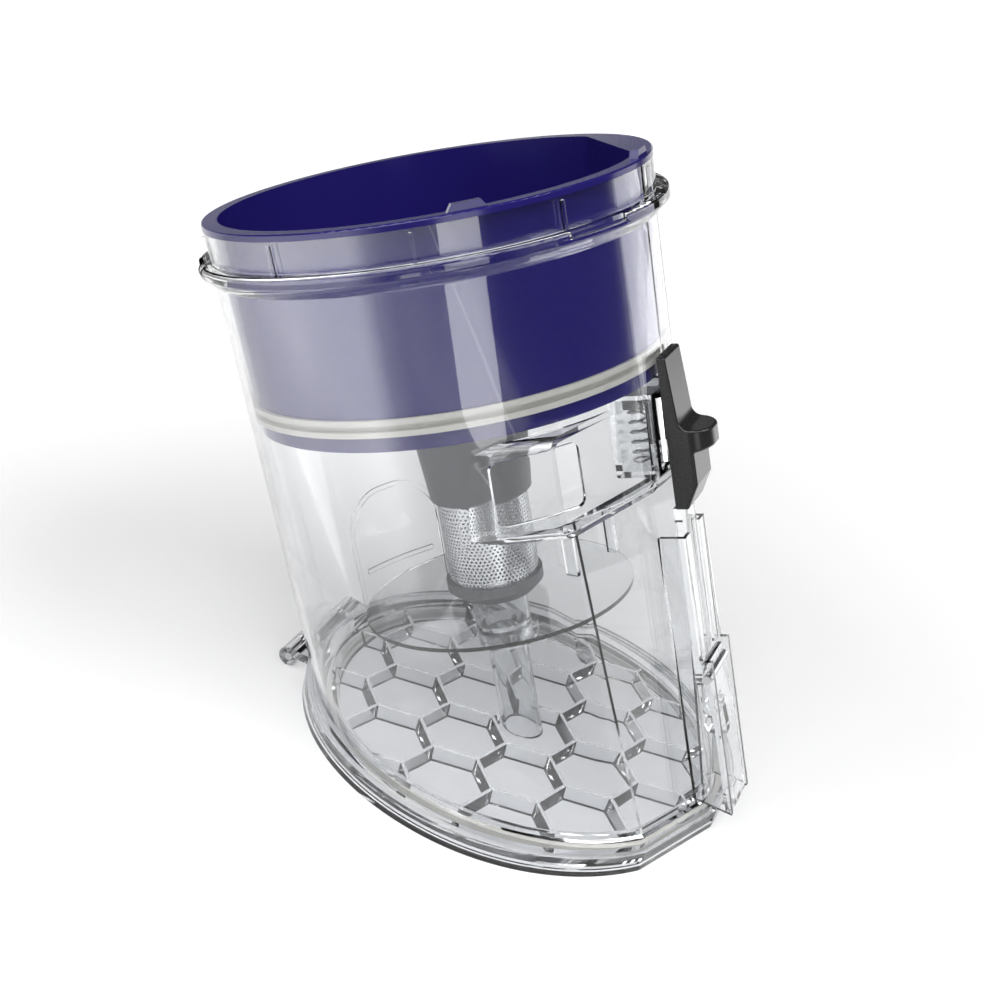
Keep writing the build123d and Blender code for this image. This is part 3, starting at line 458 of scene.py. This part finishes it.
@dataclass
class ReturnSpring:
    """The release's return spring: round wire on a helix with closed end coils, squeezed by the slider."""

    node: str = "return_spring"
    joint: str = "release_slide"
    travel_mm: float = 8.0
    turns: float = 6.5
    wire_mm: float = 0.86
    end_turns: float = 0.8
    end_pitch: float = 0.3
    steps: int = 200
    sides: int = 10

    def wire(self, low: np.ndarray, high: np.ndarray) -> tuple[np.ndarray, np.ndarray]:
        """Works out the wire's skin: a circle carried along a helix whose pitch is smaller at both ends.

        At each step the circle lies in the plane of the outward direction and of its cross product with
        the helix's tangent.

        Args:
            low: Lowest corner of the spring's box in the bin's frame.
            high: Highest corner of that box.

        Returns:
            The corners in the row frame, step by step, and the faces that join them.
        """
        wire = self.wire_mm * MM / 2.0
        coil = (high[:2] - low[:2]).max() / 2.0 - wire
        share = np.linspace(0.0, 1.0, self.steps)
        near_end = np.minimum(share, 1.0 - share) * self.turns < self.end_turns
        climb = np.cumsum(np.where(near_end, self.end_pitch, 1.0))
        climb = (climb - climb[0]) / (climb[-1] - climb[0])
        rise = low[2] + wire + climb * (high[2] - low[2] - 2.0 * wire)
        angle = 2.0 * math.pi * self.turns * share
        out = np.stack([np.cos(angle), np.sin(angle), np.zeros_like(angle)], axis=-1)
        middle = (low[:2] + high[:2]) / 2.0
        path = np.column_stack([middle + coil * out[:, :2], rise])
        tangent = np.gradient(path, axis=0)
        tangent /= np.linalg.norm(tangent, axis=1, keepdims=True)
        side = np.cross(tangent, out)
        section = 2.0 * math.pi * np.arange(self.sides) / self.sides
        skin = (
            path[:, None, :]
            + wire * np.cos(section)[None, :, None] * out[:, None, :]
            + wire * np.sin(section)[None, :, None] * side[:, None, :]
        )
        ring = np.arange(self.sides)
        ahead = (ring + 1) % self.sides
        start = np.arange(self.steps - 1)[:, None] * self.sides
        faces = np.stack(
            [start + ring, start + self.sides + ring, start + self.sides + ahead, start + ahead], axis=-1
        )
        return skin.reshape(-1, 3) @ lean_matrix().T, faces.reshape(-1, 4)

    def build(self, solid: bpy.types.Object, paints: Paints) -> None:
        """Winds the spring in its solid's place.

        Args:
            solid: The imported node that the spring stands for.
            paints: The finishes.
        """
        placed = bin_points(solid)
        low, high = placed.min(axis=0), placed.max(axis=0)
        corners, faces = self.wire(low, high)
        first_end = list(range(self.sides))
        last_end = list(range(len(corners) - 1, len(corners) - self.sides - 1, -1))
        mesh = bpy.data.meshes.new("spring_wire")
        mesh.from_pydata(corners.tolist(), [], faces.tolist() + [first_end, last_end])
        shape = bmesh.new()
        shape.from_mesh(mesh)
        bmesh.ops.recalc_face_normals(shape, faces=shape.faces)
        shape.to_mesh(mesh)
        shape.free()
        mesh.polygons.foreach_set("use_smooth", [True] * len(mesh.polygons))
        piece = paints.stand_in(mesh, self.node, Finish.STEEL)
        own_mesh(piece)


NODE_FINISH: dict[str, Finish] = {
    "bin_body": Finish.CLEAR,
    "filter_bowl": Finish.INDIGO,
    "bowl_gasket": Finish.RUBBER,
    "cyclone_cone": Finish.GREY,
    "mesh_screen": Finish.SCREEN,
    "screen_end_ring": Finish.GREY,
    "dust_shield": Finish.CLEAR,
    "centre_tube": Finish.CLEAR,
    "bottom_door": Finish.CLEAR,
    "door_gasket": Finish.RUBBER,
    "hinge_pin": Finish.STEEL,
    "release_slider": Finish.BLACK,
    "return_spring": Finish.STEEL,
    "push_rod": Finish.CLEAR,
    "door_catch": Finish.CLEAR,
    "catch_pin": Finish.STEEL,
}


@dataclass
class PhotoCamera:
    """The photograph's camera, placed in the bin's own frame and then leaned into the row frame.

    Distance and height count from the rim's centre, at the top of the axis. Pan, pitch and roll are in
    radians, and the turn carries the camera round the axis.
    """

    focal_px: float = 1658.6
    image_px: float = 1000.0
    sensor_mm: float = 36.0
    distance_mm: float = 606.9
    height_mm: float = 86.03
    pan: float = 0.011
    pitch: float = 0.336
    roll: float = -0.171
    turn_deg: float = 26.5
    axis_mm: float = 226.0
    clip_m: tuple[float, float] = (0.01, 100.0)

    def to_row(self, vectors: np.ndarray) -> np.ndarray:
        """Turns vectors about the bin's axis and leans them into the row frame.

        Args:
            vectors: Rows of x, y and z.

        Returns:
            The same vectors in the row frame.
        """
        turn = math.radians(self.turn_deg)
        cos, sin = math.cos(turn), math.sin(turn)
        about_axis = np.array([[cos, -sin, 0.0], [sin, cos, 0.0], [0.0, 0.0, 1.0]])
        return vectors @ about_axis.T @ lean_matrix().T

    def build(self) -> None:
        """Makes the scene's camera."""
        forward = np.array(
            [
                math.sin(self.pan) * math.cos(self.pitch),
                math.cos(self.pan) * math.cos(self.pitch),
                -math.sin(self.pitch),
            ]
        )
        right = np.cross(forward, (0.0, 0.0, 1.0))
        right /= np.linalg.norm(right)
        up = np.cross(right, forward)
        rolled_right = right * math.cos(self.roll) + up * math.sin(self.roll)
        rolled_up = up * math.cos(self.roll) - right * math.sin(self.roll)
        eye = np.array([0.0, -self.distance_mm, self.height_mm + self.axis_mm]) * MM
        axes = self.to_row(np.array([rolled_right, rolled_up, -forward, eye]))
        matrix = np.eye(4)
        matrix[:3, :4] = axes.T
        data = bpy.data.cameras.new("photo_camera")
        data.sensor_width = self.sensor_mm
        data.lens = self.focal_px / self.image_px * self.sensor_mm
        data.clip_start, data.clip_end = self.clip_m
        camera = bpy.data.objects.new("photo_camera", data)
        camera.matrix_world = Matrix(matrix.tolist())
        bpy.context.scene.collection.objects.link(camera)
        bpy.context.scene.camera = camera


@dataclass
class Softbox:
    """A soft lamp aimed at the bin's middle, placed by its bearing, height angle and distance."""

    name: str
    bearing_deg: float
    rise_deg: float
    distance_m: float
    width_m: float
    height_m: float
    radiance: float

    def build(self, target: Vector) -> None:
        """Makes the lamp, whose power follows from its area and the brightness of its face.

        Args:
            target: The point that the lamp faces.
        """
        bearing = math.radians(self.bearing_deg)
        rise = math.radians(self.rise_deg)
        back = Vector(
            (math.cos(bearing) * math.cos(rise), math.sin(bearing) * math.cos(rise), math.sin(rise))
        )
        data = bpy.data.lights.new(self.name, "AREA")
        data.shape = "RECTANGLE"
        data.size = self.width_m
        data.size_y = self.height_m
        data.energy = LAMP_WATTS * self.width_m * self.height_m * self.radiance
        lamp = bpy.data.objects.new(self.name, data)
        lamp.location = target + back * self.distance_m
        lamp.rotation_mode = "QUATERNION"
        lamp.rotation_quaternion = back.to_track_quat("Z", "Y")
        lamp.visible_camera = False
        bpy.context.scene.collection.objects.link(lamp)


@dataclass
class PaintedReflectionSheet:
    """A glowing sheet that lies round the bin, unseen by the camera and lighting nothing: painted
    reflections, bright or dark, for the bin's glossy walls.

    Each stop is a bearing in degrees and the painted brightness there. A sheet that is seen through
    also paints light behind the clear walls.
    """

    name: str
    stops: tuple[tuple[float, float], ...]
    seen_through: bool = False
    inner_m: float = 0.16
    outer_m: float = 6.0
    fade_m: float = 0.2
    floor_level: float = 0.9
    lift_mm: float = 1.0
    step_deg: float = 3.0

    def build(self) -> None:
        """Lays the sheet in three arcs of corners; its painted brightness runs straight from stop to stop.

        The inner arc is as bright as the floor, so that the painted reflection has no edge beside the bin.
        """
        stop = np.array(self.stops)
        bearing = np.arange(stop[0, 0], stop[-1, 0] + self.step_deg / 2.0, self.step_deg)
        turn = np.radians(bearing)
        reach = np.array([self.inner_m, self.inner_m + self.fade_m, self.outer_m])[:, None]
        ring = len(bearing)
        level = np.full((len(reach), ring), self.lift_mm * MM)
        corners = np.stack([reach * np.cos(turn), reach * np.sin(turn), level], axis=-1).reshape(-1, 3)
        first = (np.arange(len(reach) - 1)[:, None] * ring + np.arange(ring - 1)).ravel()
        faces = np.stack([first, first + ring, first + ring + 1, first + 1], axis=-1)
        mesh = bpy.data.meshes.new(self.name)
        mesh.from_pydata(corners.tolist(), [], faces.tolist())
        # Painted brightness of the reflection at each corner; the sheet lights nothing
        glow = mesh.attributes.new("painted_reflection_glow", "FLOAT", "POINT")
        along = np.interp(bearing, stop[:, 0], stop[:, 1])
        glow.data.foreach_set("value", np.concatenate([np.full(ring, self.floor_level), along, along]))
        material, tree = new_material(self.name)
        shade = add_node(tree, "ShaderNodeAttribute", {"attribute_name": "painted_reflection_glow"})
        light = add_node(tree, "ShaderNodeEmission", links={"Strength": shade.outputs["Fac"]})
        add_node(tree, "ShaderNodeOutputMaterial", links={"Surface": light.outputs[0]})
        mesh.materials.append(material)
        sheet = bpy.data.objects.new(self.name, mesh)
        # Seen only in reflections, and through clear walls if asked: a painted reflection, not a lamp
        sheet.visible_camera = False
        sheet.visible_diffuse = False
        sheet.visible_transmission = self.seen_through
        sheet.visible_shadow = False
        bpy.context.scene.collection.objects.link(sheet)


@dataclass
class Studio:
    """A white floor in a dim room, with soft boxes and sheets of painted reflection round the bin.

    The floor lies just below the door, whose underside then reflects as plastic in air does.
    """

    floor_m: float = 12.0
    floor_drop_mm: float = 0.2
    floor_colour: str = "#E8E8E8"
    # Glow of the floor close to the bin, kept low: painted shade round and under the bin
    painted_shade_glow: float = 0.2
    far_glow: float = 1.0
    near_m: float = 0.2
    far_m: float = 1.3
    room_colour: str = "#FFFFFF"
    room_strength: float = 0.06
    backdrop_deg: tuple[float, float] = (0.5, 2.0)
    middle: tuple[float, float, float] = (-0.04, 0.0, 0.11)
    boxes: tuple[Softbox, ...] = (
        Softbox("key_box", 0.0, 58.0, 1.5, 1.0, 1.0, 3.2),
        Softbox("fill_box", -122.0, 56.0, 1.1, 1.2, 1.0, 2.6),
        Softbox("strip_box", -53.0, 8.0, 1.15, 0.38, 0.7, 2.0),
        Softbox("right_box", 50.0, 4.0, 2.0, 0.8, 0.8, 1.3),
        Softbox("back_box", 122.0, 14.0, 2.6, 1.0, 0.5, 0.6),
    )
    # Sheets that glow only for reflections and through clear walls: painted bright and dark reflections
    reflection_sheets: tuple[PaintedReflectionSheet, ...] = (
        PaintedReflectionSheet(
            "left_painted_reflection",
            ((-178.0, 0.9), (-166.0, 1.4), (-142.0, 2.9), (-107.0, 2.9), (-97.0, 1.2)),
            seen_through=True,
        ),
        PaintedReflectionSheet("front_painted_dark_reflection", ((-97.0, 1.2), (-88.0, 0.12), (-40.0, 0.12), (-19.0, 0.6))),
        PaintedReflectionSheet("right_painted_reflection", ((30.0, 1.0), (45.0, 2.0), (75.0, 2.0), (90.0, 1.0)), outer_m=2.0),
        PaintedReflectionSheet(
            "back_painted_dark_reflection",
            ((104.0, 1.2), (112.0, 0.9), (117.0, 0.2), (140.0, 0.2), (149.0, 0.8)),
            inner_m=1.2,
        ),
    )

    def build(self) -> None:
        """Makes the floor, the room, the lamps and the sheets of painted reflection."""
        self.make_floor()
        self.make_room()
        for box in self.boxes:
            box.build(Vector(self.middle))
            LOG.info("hung %s", box.name)
        for glow_sheet in self.reflection_sheets:
            glow_sheet.build()
            LOG.info("laid %s", glow_sheet.name)

    def make_floor(self) -> None:
        """Lays one large white square under the bin, which keeps its shadow.

        The floor glows for rays that come from the camera, from reflections and through clear walls:
        dimly near the bin, as painted shade round and under it, and more so farther out, where it meets
        the white backdrop.
        """
        half = self.floor_m / 2
        mesh = bpy.data.meshes.new("studio_floor")
        low = -self.floor_drop_mm * MM
        corners = [(-half, -half, low), (half, -half, low), (half, half, low), (-half, half, low)]
        mesh.from_pydata(corners, [], [(0, 1, 2, 3)])
        floor = bpy.data.objects.new("studio_floor", mesh)
        bpy.context.scene.collection.objects.link(floor)
        material, tree = new_material("painted_sweep_matt")
        paint = add_node(tree, "ShaderNodeBsdfDiffuse", {"Color": linear(self.floor_colour)})
        path = add_node(tree, "ShaderNodeLightPath")
        first = add_node(
            tree,
            "ShaderNodeMath",
            {"operation": "MAXIMUM"},
            {0: path.outputs["Is Camera Ray"], 1: path.outputs["Is Glossy Ray"]},
        )
        seen = add_node(
            tree,
            "ShaderNodeMath",
            {"operation": "MAXIMUM"},
            {0: first.outputs[0], 1: path.outputs["Is Transmission Ray"]},
        )
        place = add_node(tree, "ShaderNodeTexCoord")
        reach = add_node(
            tree, "ShaderNodeVectorMath", {"operation": "LENGTH"}, {0: place.outputs["Object"]}
        )
        # Glow by distance from the bin: low close by as painted shade, full farther out at the backdrop
        rise = add_node(
            tree,
            "ShaderNodeMapRange",
            {
                "From Min": self.near_m,
                "From Max": self.far_m,
                "To Min": self.painted_shade_glow,
                "To Max": self.far_glow,
            },
            {"Value": reach.outputs["Value"]},
        )
        glow = add_node(
            tree,
            "ShaderNodeEmission",
            {"Color": linear(self.room_colour)},
            {"Strength": rise.outputs["Result"]},
        )
        lit = add_node(tree, "ShaderNodeAddShader", links={0: paint.outputs[0], 1: glow.outputs[0]})
        mix = add_node(
            tree,
            "ShaderNodeMixShader",
            links={0: seen.outputs[0], 1: paint.outputs[0], 2: lit.outputs[0]},
        )
        add_node(tree, "ShaderNodeOutputMaterial", links={"Surface": mix.outputs[0]})
        mesh.materials.append(material)

    def make_room(self) -> None:
        """Lights the scene a little from all round, with a white backdrop behind the bin.

        The clear walls show the backdrop up to a little above the horizon, where it meets the floor.
        """
        world = bpy.data.worlds.new("studio_room")
        bpy.context.scene.world = world
        world.use_nodes = True
        tree = world.node_tree
        tree.nodes.clear()
        path = add_node(tree, "ShaderNodeLightPath")
        place = add_node(tree, "ShaderNodeTexCoord")
        split = add_node(tree, "ShaderNodeSeparateXYZ", links={"Vector": place.outputs["Generated"]})
        low = add_node(
            tree,
            "ShaderNodeMapRange",
            {
                "From Min": math.sin(math.radians(self.backdrop_deg[0])),
                "From Max": math.sin(math.radians(self.backdrop_deg[1])),
                "To Min": 1.0,
                "To Max": 0.0,
            },
            {"Value": split.outputs["Z"]},
        )
        seen = add_node(
            tree,
            "ShaderNodeMath",
            {"operation": "MULTIPLY_ADD", "use_clamp": True},
            {
                0: path.outputs["Is Transmission Ray"],
                1: low.outputs["Result"],
                2: path.outputs["Is Camera Ray"],
            },
        )
        colour = linear(self.room_colour)
        dim = add_node(tree, "ShaderNodeBackground", {"Color": colour, "Strength": self.room_strength})
        white = add_node(tree, "ShaderNodeBackground", {"Color": colour, "Strength": 1.0})
        mix = add_node(
            tree,
            "ShaderNodeMixShader",
            links={0: seen.outputs[0], 1: dim.outputs[0], 2: white.outputs[0]},
        )
        add_node(tree, "ShaderNodeOutputWorld", links={"Surface": mix.outputs[0]})


@dataclass(frozen=True)
class LightBounces:
    """How often light may turn or pass a wall: enough to see through the bin, and dark at its edges."""

    total: int = 14
    through_plastic: int = 12
    through_shadow: int = 32
    glossy: int = 6

    def apply(self, scene: bpy.types.Scene) -> None:
        """Sets the bounces of a scene.

        Args:
            scene: The scene to set.
        """
        scene.cycles.max_bounces = self.total
        scene.cycles.transmission_bounces = self.through_plastic
        scene.cycles.transparent_max_bounces = self.through_shadow
        scene.cycles.glossy_bounces = self.glossy


def main() -> None:
    """Dresses the solids, builds the pieces that stand in for two of them, and sets up the studio."""
    logging.basicConfig(level=logging.INFO, format="%(name)s: %(message)s")
    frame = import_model()
    bpy.context.scene.view_settings.view_transform = "Standard"
    LightBounces().apply(bpy.context.scene)
    paints = Paints()
    for name, finish in NODE_FINISH.items():
        paints.dress(frame["nodes"][name], finish)
        LOG.info("dressed %s in %s", name, finish.slot)
    CoreScreen().build(frame["nodes"]["mesh_screen"], paints)
    ReturnSpring().build(frame["nodes"]["return_spring"], paints)
    PhotoCamera().build()
    Studio().build()


if __name__ == "__main__":
    main()
